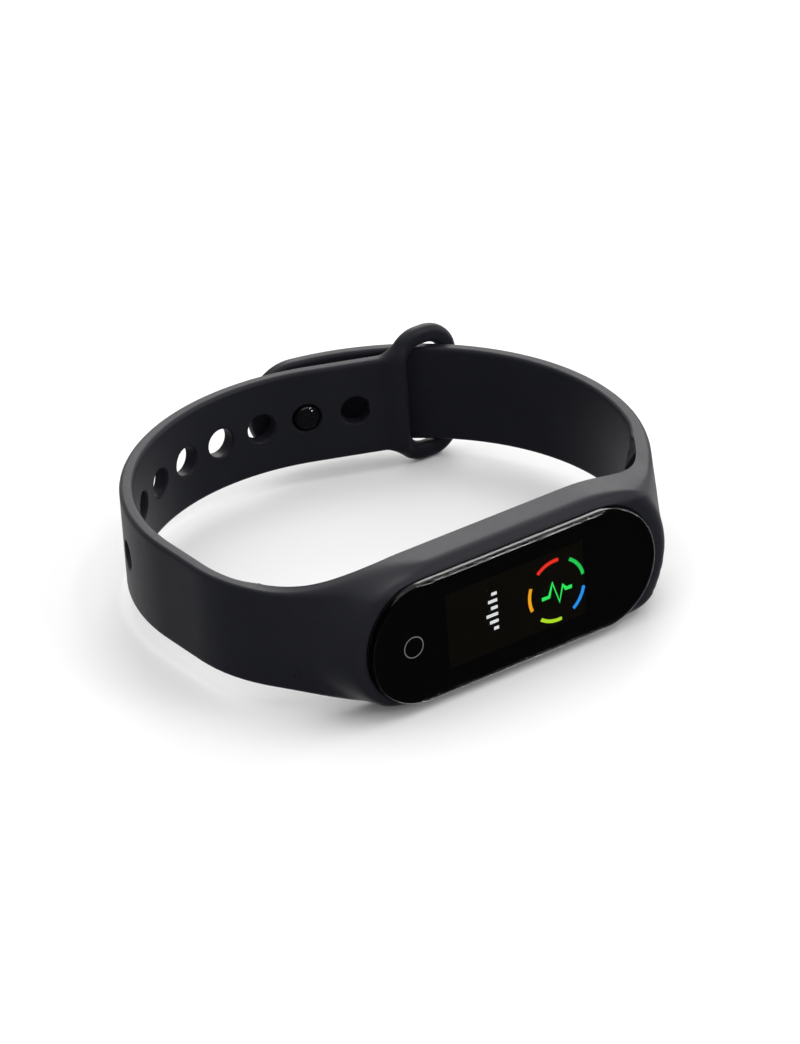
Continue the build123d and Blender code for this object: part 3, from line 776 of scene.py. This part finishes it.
def makeWristband():
    points, faces = wristbandShape()
    made = buildMesh("wristband", toFrame(points), faces, "silicone")
    straight, radius = pocket["collar"]
    floorDepth, top, root, crest = band["floorDepth"], pocket["collarDepth"], 0.6, 0.4
    ring = [(floorDepth - 0.6, straight, radius + root)]
    ring += [(floorDepth + root * (1 - math.cos(a)) - 0.02, straight, radius + root * (1 - math.sin(a)))
             for a in arcSteps(5)]
    ring += [(top - crest + crest * math.sin(a), straight, radius - crest * (1 - math.cos(a)))
             for a in arcSteps(5)]
    combine(made, stackRings("collar", ring), "UNION")
    lip, front = pocket["lip"], cradle["frontDepth"]
    wide, wideDepth = pocket["flange"]
    narrow, narrowDepth = pocket["case"]
    tubStraight, tubRadius = pocket["tub"]
    middle = pocket["straight"]
    cutter = [(pocket["cutStart"], middle, wide + lip), (front - 0.01, middle, wide + lip)]
    for share in (0.25, 0.5, 0.72, 0.88, 1.0):
        a = math.asin(share)
        cutter.append((front + lip * math.sin(a), middle, wide + lip * math.cos(a)))
    cutter += [(wideDepth, middle, wide), (wideDepth, middle, narrow), (narrowDepth, middle, narrow),
               (narrowDepth, tubStraight, tubRadius), (pocket["cutEnd"], tubStraight, tubRadius)]
    combine(made, stackRings("pocketCutter", cutter), "DIFFERENCE")
    return made


# ---- strap holes: one cutter repeated along the strap by geometry nodes

def strapPlace(along):
    out = direction(bendAngle)
    if along < straightLength:
        return nearBar + along * np.array([-out[1], out[0]]), out
    out = direction(bendAngle + math.degrees((along - straightLength) / holeMiddle))
    return holeCentre + holeMiddle * out, out


def holeCutterTree():
    tree = bpy.data.node_groups.new("strapHoles", "GeometryNodeTree")
    face = tree.interface
    face.new_socket(name="Geometry", in_out="INPUT", socket_type="NodeSocketGeometry")
    sizes = {"Radius": 2.1, "Edge Round": 0.2, "Thickness": 2.0}
    for name, value in sizes.items():
        face.new_socket(name=name, in_out="INPUT", socket_type="NodeSocketFloat").default_value = value
    face.new_socket(name="Sides", in_out="INPUT", socket_type="NodeSocketInt").default_value = 48
    face.new_socket(name="Finish", in_out="INPUT", socket_type="NodeSocketMaterial")
    face.new_socket(name="Geometry", in_out="OUTPUT", socket_type="NodeSocketGeometry")
    given, result = tree.nodes.new("NodeGroupInput"), tree.nodes.new("NodeGroupOutput")
    link = tree.links.new
    # a spool: straight in the middle, wider where it leaves the strap's faces
    spool = tree.nodes.new("GeometryNodeMeshCylinder")
    spool.inputs["Side Segments"].default_value = 40
    link(given.outputs["Sides"], spool.inputs["Vertices"])
    link(given.outputs["Radius"], spool.inputs["Radius"])
    link(mathNode(tree, "MULTIPLY", given.outputs["Thickness"], 2.0), spool.inputs["Depth"])
    place = tree.nodes.new("GeometryNodeInputPosition")
    parts = tree.nodes.new("ShaderNodeSeparateXYZ")
    link(place.outputs[0], parts.inputs[0])
    height = mathNode(tree, "ABSOLUTE", parts.outputs["Z"], None)
    halfThick = mathNode(tree, "MULTIPLY", given.outputs["Thickness"], 0.5)
    start = mathNode(tree, "SUBTRACT", halfThick, given.outputs["Edge Round"])
    past = mathNode(tree, "SUBTRACT", height, start)
    share = mathNode(tree, "DIVIDE", past, given.outputs["Edge Round"], clamp=True)
    square = mathNode(tree, "MULTIPLY", share, share)
    root = mathNode(tree, "SQRT", mathNode(tree, "SUBTRACT", 1.0, square), None)
    flare = mathNode(tree, "MULTIPLY", mathNode(tree, "SUBTRACT", 1.0, root), given.outputs["Edge Round"])
    grow = mathNode(tree, "DIVIDE", flare, given.outputs["Radius"])
    joined = tree.nodes.new("ShaderNodeCombineXYZ")
    link(mathNode(tree, "MULTIPLY", parts.outputs["X"], grow), joined.inputs["X"])
    link(mathNode(tree, "MULTIPLY", parts.outputs["Y"], grow), joined.inputs["Y"])
    shape = tree.nodes.new("GeometryNodeSetPosition")
    link(spool.outputs["Mesh"], shape.inputs["Geometry"])
    link(joined.outputs[0], shape.inputs["Offset"])
    heading = tree.nodes.new("GeometryNodeInputNamedAttribute")
    heading.data_type = "FLOAT_VECTOR"
    heading.inputs["Name"].default_value = "outward"
    aim = tree.nodes.new("FunctionNodeAlignRotationToVector")
    aim.axis = "Z"
    link(heading.outputs[0], aim.inputs["Vector"])
    copies = tree.nodes.new("GeometryNodeInstanceOnPoints")
    link(given.outputs["Geometry"], copies.inputs["Points"])
    link(shape.outputs["Geometry"], copies.inputs["Instance"])
    link(aim.outputs["Rotation"], copies.inputs["Rotation"])
    real = tree.nodes.new("GeometryNodeRealizeInstances")
    link(copies.outputs[0], real.inputs[0])
    paint = tree.nodes.new("GeometryNodeSetMaterial")
    link(real.outputs[0], paint.inputs["Geometry"])
    link(given.outputs["Finish"], paint.inputs["Material"])
    link(paint.outputs[0], result.inputs[0])
    return tree


def setInput(modifier, name, value):
    for item in modifier.node_group.interface.items_tree:
        if item.item_type == "SOCKET" and item.in_out == "INPUT" and item.name == name:
            modifier[item.identifier] = value


def makeHoleCutters():
    places = [strapPlace(holes["first"] + i * holes["pitch"]) for i in range(holes["count"])]
    mesh = bpy.data.meshes.new("holeCutters")
    mesh.from_pydata([tuple(toFrame((*p, 0))) for p, _ in places], [], [])
    outward = mesh.attributes.new("outward", "FLOAT_VECTOR", "POINT")
    outward.data.foreach_set("vector", [c for _, out in places for c in (*out, 0)])
    made = addObject("holeCutters", mesh)
    modifier = made.modifiers.new("holes", "NODES")
    modifier.node_group = holeCutterTree()
    setInput(modifier, "Radius", holes["radius"] * 0.001)
    setInput(modifier, "Edge Round", holes["edgeRound"] * 0.001)
    setInput(modifier, "Thickness", band["thickness"] * 0.001)
    setInput(modifier, "Finish", materials["silicone"])
    return applyModifiers(made)


# ---- keeper loop, with the end of the strap that runs into it

def loopField(p):
    across = -direction(barAngle)
    up = np.array([-across[1], across[0]])
    flat = p[:, :2] - loopCentre
    w, q, z = flat @ across, flat @ up, p[:, 2]
    corner = loop["corner"] - loop["bar"] / 2
    a = np.abs(w) - (loop["span"] / 2 - corner)
    b = np.abs(z) - (loop["height"] / 2 - loop["bar"] / 2 - corner)
    line = np.abs(np.hypot(np.maximum(a, 0), np.maximum(b, 0)) + np.minimum(np.maximum(a, b), 0) - corner)
    r = loop["edgeRound"]
    g = line - (loop["bar"] / 2 - r)
    h = np.abs(q) - (loop["thickness"] / 2 - r)
    ring = np.hypot(np.maximum(g, 0), np.maximum(h, 0)) + np.minimum(np.maximum(g, h), 0) - r
    out = direction(bendAngle)
    flat = p[:, :2] - nearBar
    u, q = flat @ np.array([-out[1], out[0]]), flat @ out
    r = band["edgeRound"]
    g = np.abs(q) - (strapMiddle - r)
    h = np.abs(z) - (band["halfWidth"] - r)
    strap = np.hypot(np.maximum(g, 0), np.maximum(h, 0)) + np.minimum(np.maximum(g, h), 0) - r
    strap = np.maximum(strap, -u - 0.4)
    return roundMin(ring, strap, loop["fillet"])


def makeKeeperLoop():
    across = -direction(barAngle)
    up = np.array([-across[1], across[0]])
    corner = loop["corner"] - loop["bar"] / 2
    halfSpan, halfTall = loop["span"] / 2, loop["height"] / 2 - loop["bar"] / 2
    cornerSteps, around = 13, 16
    line = []
    for sw, sz, first in ((1, 1, 0), (-1, 1, 90), (-1, -1, 180), (1, -1, 270)):
        for i in range(cornerSteps + 1):
            turn = direction(first + 90 * i / cornerSteps)
            w, z = sw * (halfSpan - corner) + corner * turn[0], sz * (halfTall - corner) + corner * turn[1]
            line.append((w, z, turn))
    points = []
    for w, z, turn in line:
        for i in range(around):
            s = direction(360 * i / around)
            out, lift = s[0] * loop["bar"] / 2, s[1] * loop["thickness"] / 2
            plan = loopCentre + across * (w + out * turn[0]) + up * lift
            points.append((*plan, z + out * turn[1]))
    made = buildMesh("keeperLoop", toFrame(points), gridFaces(len(line), around, closed=True), "silicone")
    out = direction(bendAngle)
    along = np.array([-out[1], out[0]])
    stub = []
    for u in (0.2, loop["stub"] + 2.0):
        for q, z in ((-1, -1), (1, -1), (1, 1), (-1, 1)):
            plan = nearBar + along * u + out * q * (strapMiddle - 0.05)
            stub.append((*plan, z * (band["halfWidth"] - 0.05)))
    boxFaces = [(0, 1, 2, 3), (4, 5, 6, 7), (0, 1, 5, 4), (1, 2, 6, 5), (2, 3, 7, 6), (3, 0, 4, 7)]
    combine(made, buildMesh("loopStub", toFrame(stub), boxFaces), "UNION")
    change = made.modifiers.new("remesh", "REMESH")
    change.mode = "VOXEL"
    change.voxel_size = loop["voxel"] * 0.001
    applyModifiers(made)
    co = np.zeros(len(made.data.vertices) * 3)
    made.data.vertices.foreach_get("co", co)
    p = (co.reshape(-1, 3) - capsuleOrigin) * 1000
    p = settle(p, loopField, 10, 0.15)
    made.data.vertices.foreach_set("co", toFrame(p).ravel())
    # the strap's end is cut square, where the wristband's own mesh starts
    cutPlace = nearBar + along * loop["stub"]
    work = bmesh.new()
    work.from_mesh(made.data)
    everything = list(work.verts) + list(work.edges) + list(work.faces)
    bmesh.ops.bisect_plane(work, geom=everything, plane_co=toFrame((*cutPlace, 0)), plane_no=(*along, 0),
                           clear_outer=True)
    rim = [e for e in work.edges if e.is_boundary]
    bmesh.ops.holes_fill(work, edges=rim, sides=0)
    work.to_mesh(made.data)
    work.free()
    made.data.materials.clear()
    made.data.materials.append(materials["silicone"])
    return finishMesh(made, 50)


# ---- tail: the free end, with a round tip and the stud's seat

stud = {
    "hole": 1,
    "tip": 7.6,
    "headRadius": 1.86,
    "neckRadius": 1.2,
    "shankRadius": 0.8,
    "capRadius": 3.0,
    "capThickness": 0.9,
    "shankLength": 0.6,
    "headProud": 0.7,
    "headThickness": 1.5,
}
studSeat = strapPlace(holes["first"] + stud["hole"] * holes["pitch"])[0]
studAngle = math.degrees(math.atan2(*(studSeat - tailCentre)[::-1]))
studReach = math.hypot(*(studSeat - tailCentre))
tailMiddle = band["tailInner"] + strapMiddle
tailOuter = band["tailInner"] + band["thickness"]


def revolve(name, profile, centre, out, slot, count=56):
    # solid of revolution about a radial axis: (distance along it, radius), closed at both ends
    side = np.array([-out[1], out[0]])
    points = []
    for reach, radius in profile:
        base = centre + reach * out
        for i in range(count):
            c, s = direction(360 * i / count) * radius
            points.append((base[0] + side[0] * c, base[1] + side[1] * c, s))
    faces = gridFaces(len(profile), count) + endFaces(len(profile), count)
    return buildMesh(name, toFrame(points), faces, slot)


def makeTail():
    r, half, flats, corners = band["edgeRound"], band["halfWidth"], 19, 6
    outline = sectionOutline(half, np.full(flats, band["thickness"]), r, r, flats, corners, 5)
    depth, z = outline.T
    flat = np.clip(z, -(half - r), half - r)
    past = np.abs(z - flat)
    sign = np.sign(z)
    start = math.radians(band["seamAngle"]) * tailMiddle
    tipStart = math.radians(studAngle) * tailMiddle + stud["tip"] - half
    rows = []
    count = round((tipStart - start) / band["spacing"])
    tipSteps = 24
    for i in range(count):
        rows.append((np.full(len(z), start + (tipStart - start) * i / count), z))
    for i in range(tipSteps + 1):
        turn = math.pi / 2 * i / tipSteps
        along = tipStart + (half - r + past) * math.sin(turn)
        rows.append((along, flat * math.cos(turn) + sign * past * math.cos(turn)))
    points = []
    for along, height in rows:
        angle = along / tailMiddle
        radius = band["tailInner"] + depth
        x, y = tailCentre[0] + radius * np.cos(angle), tailCentre[1] + radius * np.sin(angle)
        points += list(zip(x, y, height))
    columns = len(z)
    faces = gridFaces(len(rows), columns) + [tuple(range(columns))]
    # the last row is folded flat: its two halves face each other and are joined
    made = buildMesh("tail", toFrame(points), faces, "silicone")
    out = direction(studAngle)
    seat = tailOuter - stud["capThickness"]
    fit, tiny = 0.02, 0.001
    capHole, rim = stud["capRadius"] + fit, stud["capRadius"] + 0.12
    cap = [(seat, tiny), (seat, capHole), (tailOuter - 0.15, capHole),
           (tailOuter, rim), (tailOuter + 1, rim), (tailOuter + 1, tiny)]
    combine(made, revolve("capSeat", cap, tailCentre, out, None), "DIFFERENCE")
    neckHole = stud["neckRadius"] + fit
    neck = [(seat - 3, tiny), (seat - 3, neckHole), (seat + 0.5, neckHole), (seat + 0.5, tiny)]
    combine(made, revolve("neckHole", neck, tailCentre, out, None), "DIFFERENCE")
    return finishMesh(made)


def makeStud():
    out = direction(studAngle)
    seat = tailOuter - stud["capThickness"]
    crest, edge = 0.12, 0.25
    profile = [(seat, 0.001), (seat, stud["capRadius"] - 0.05), (seat + 0.05, stud["capRadius"])]
    profile += [(tailOuter - edge - crest + edge * math.sin(a), stud["capRadius"] - edge * (1 - math.cos(a)))
                for a in arcSteps(6)]
    profile += [(tailOuter - crest * (r ** 2), (stud["capRadius"] - edge) * r)
                for r in (0.9, 0.75, 0.6, 0.45, 0.3, 0.15, 0.001)]
    cap = revolve("studCap", profile, tailCentre, out, "stud_black")
    head = studReach - band["thickness"] / 2 - stud["headProud"]
    under = head + stud["headThickness"]
    dome = 1.1
    profile = [(head + dome * (1 - math.cos(a)), max(0.001, stud["headRadius"] * math.sin(a)))
               for a in arcSteps(14)]
    profile += [(head + dome + 0.15, stud["headRadius"]), (under - 0.08, stud["headRadius"] - 0.04),
                (under, stud["headRadius"] - 0.14), (under, stud["neckRadius"] + 0.12),
                (under + 0.12, stud["neckRadius"]), (seat - 0.005, stud["neckRadius"]), (seat - 0.005, 0.001)]
    post = revolve("studPost", profile, tailCentre, out, "stud_black")
    return finishMesh(cap, 50), finishMesh(post, 50)


wristband = makeWristband()
combine(wristband, makeHoleCutters(), "DIFFERENCE")
finishMesh(wristband, 42)
print("wristband:", len(wristband.data.polygons), "faces")
keeperLoop = makeKeeperLoop()
print("keeper loop:", len(keeperLoop.data.polygons), "faces")
tail = makeTail()
studCap, studPost = makeStud()
print("tail and stud made")

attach(wristband, "wristband")
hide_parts("cradle", "hole_strap", "tail_strap")
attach(keeperLoop, "wristband")
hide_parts("keeper_loop")
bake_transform(tail)
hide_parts("tail_end")
for piece, node in ((studCap, "stud_cap"), (studPost, "stud_post")):
    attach(piece, "tail")
    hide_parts(node)


# ---- lens, with its polished edge

lens = {
    "straight": 14.5,
    "radius": 8.95,
    "thickness": 1.08,
    "edge": 0.72,                    # width of the rounded edge
    "fall": 0.6,
    "facet": 0.16,
}


def makeLens():
    r, back = lens["radius"], lens["thickness"]
    profile = [(back, lens["straight"], r - 0.1), (back - 0.1, lens["straight"], r)]
    for a in arcSteps(12):
        depth = lens["fall"] * (1 - math.sin(a)) + 0.02
        profile.append((depth, lens["straight"], r - lens["edge"] * (1 - math.cos(a))))
    profile.append((0.0, lens["straight"], r - lens["edge"] - lens["facet"]))
    return finishMesh(stackRings("lensCover", profile, 64, "lens_glass"), 30)


lensCover = makeLens()
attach(lensCover, "capsule")
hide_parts("lens_cover")


# ---- what the display shows, and the touch key's ring

screen = {
    "depth": 1.125,
    "film": 0.012,
    "ringCentre": (7.1, -0.33),
    "ringRadius": 4.5,
    "dashes": (                      # start and end in degrees, and colour
        (83, 131, (1.0, 0.03, 0.015)),
        (11, 59, (0.015, 0.62, 0.09)),
        (-56, -12, (0.02, 0.33, 0.95)),
        (-129, -83, (0.5, 0.85, 0.02)),
        (158, 203, (1.0, 0.42, 0.01)),
    ),
    "dashWidth": 0.55,
    "pulseWidth": 0.6,
    "pulse": ((-2.5, -0.6), (-1.3, -0.6), (-0.65, 1.3), (0.35, -1.9), (1.0, 0.4), (1.5, -0.3), (2.5, -0.3)),
    "barsPlace": (-3.4, 0.3),
    "bars": (0.9, 1.5, 1.1, 1.9, 1.4, 0.8),
    "barPitch": 1.04,
    "barWidth": 0.5,
    "keyPlace": (-16.4, -0.25),
    "keyRadius": 1.5,
    "keyLine": 0.14,
}


def glowMaterial(name, color, strength):
    material = bpy.data.materials.new(name)
    material.use_nodes = True
    tree = material.node_tree
    shader = tree.nodes["Principled BSDF"]
    marks = addGroup(tree, fineGrain, Cells=9000.0)
    tone = mixColor(tree, marks.outputs["Tone"], color, tuple(c * 0.85 for c in color))
    tree.links.new(tone, shader.inputs["Base Color"])
    tree.links.new(tone, shader.inputs["Emission Color"])
    shader.inputs["Emission Strength"].default_value = strength
    shader.inputs["Roughness"].default_value = 0.5
    return material


def ribbonMesh(name, lines, width, material, depth=None):
    # thin raised lines with round ends, drawn in the plane of the display
    made = bpy.data.curves.new(name, "CURVE")
    made.dimensions = "3D"
    made.bevel_mode = "ROUND"
    made.bevel_depth = width / 2 * 0.001
    made.bevel_resolution = 3
    made.use_fill_caps = True
    for line, closed in lines:
        spline = made.splines.new("POLY")
        spline.points.add(len(line) - 1)
        for point, (x, z) in zip(spline.points, line):
            point.co = (x * 0.001, 0, z * 0.001, 1)
        spline.use_cyclic_u = closed
    curve = bpy.data.objects.new(name, made)
    bpy.context.scene.collection.objects.link(curve)
    mesh = bpy.data.meshes.new_from_object(curve.evaluated_get(bpy.context.evaluated_depsgraph_get()))
    bpy.data.objects.remove(curve)
    # pressed flat into a film
    place = toFrame((0, screen["depth"] if depth is None else depth, 0))
    for vertex in mesh.vertices:
        vertex.co.y *= screen["film"] / width
        vertex.co += Vector(place)
    obj = addObject(name, mesh, None)
    mesh.materials.clear()
    mesh.materials.append(material)
    return finishMesh(obj, 60)


def drawDisplay():
    cx, cz = screen["ringCentre"]
    dashSteps = 16
    for number, (first, last, color) in enumerate(screen["dashes"]):
        line = []
        for i in range(dashSteps + 1):
            c, s = direction(first + (last - first) * i / dashSteps) * screen["ringRadius"]
            line.append((cx + c, cz + s))
        glow = glowMaterial(f"dashGlow{number + 1}", color, 1.0)
        dash = ribbonMesh(f"ringDash{number + 1}", [(line, False)], screen["dashWidth"], glow)
        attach(dash, "capsule")
    pulseLine = [(cx + x, cz + z) for x, z in screen["pulse"]]
    pulse = ribbonMesh("pulseLine", [(pulseLine, False)], screen["pulseWidth"],
                       glowMaterial("pulseGlow", (0.03, 0.95, 0.12), 1.0))
    bx, bz = screen["barsPlace"]
    barLines = []
    for i, length in enumerate(screen["bars"]):
        z = bz + ((len(screen["bars"]) - 1) / 2 - i) * screen["barPitch"]
        barLines.append(([(bx + 0.8 - length, z), (bx + 0.8, z)], False))
    bars = ribbonMesh("levelBars", barLines, screen["barWidth"],
                      glowMaterial("barGlow", (0.85, 0.85, 0.85), 1.0))
    kx, kz = screen["keyPlace"]
    keySides = 72
    ring = [tuple(np.array([kx, kz]) + direction(360 * i / keySides) * screen["keyRadius"])
            for i in range(keySides)]
    # the touch key's ring is grey ink with a painted glow, so it reads lighter than the dark studio in front
    # would light it
    keyRing = ribbonMesh("touchKeyRing", [(ring, True)], screen["keyLine"],
                         glowMaterial("keyInk", (0.35, 0.35, 0.36), 0.5), lens["thickness"] + 0.01)
    for piece in (pulse, bars, keyRing):
        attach(piece, "capsule")


drawDisplay()
print("display drawn")


# ---- carried-over nodes take their finishes

for material in frame["record"]["materials"]:
    slotName = material["slot"]
    for made in nodes.values():
        for place in made.material_slots:
            current = place.material
            if current and current.name.split(".")[0] == slotName and current != materials.get(slotName):
                place.material = materials[slotName]
print("finishes given to the frame's nodes")
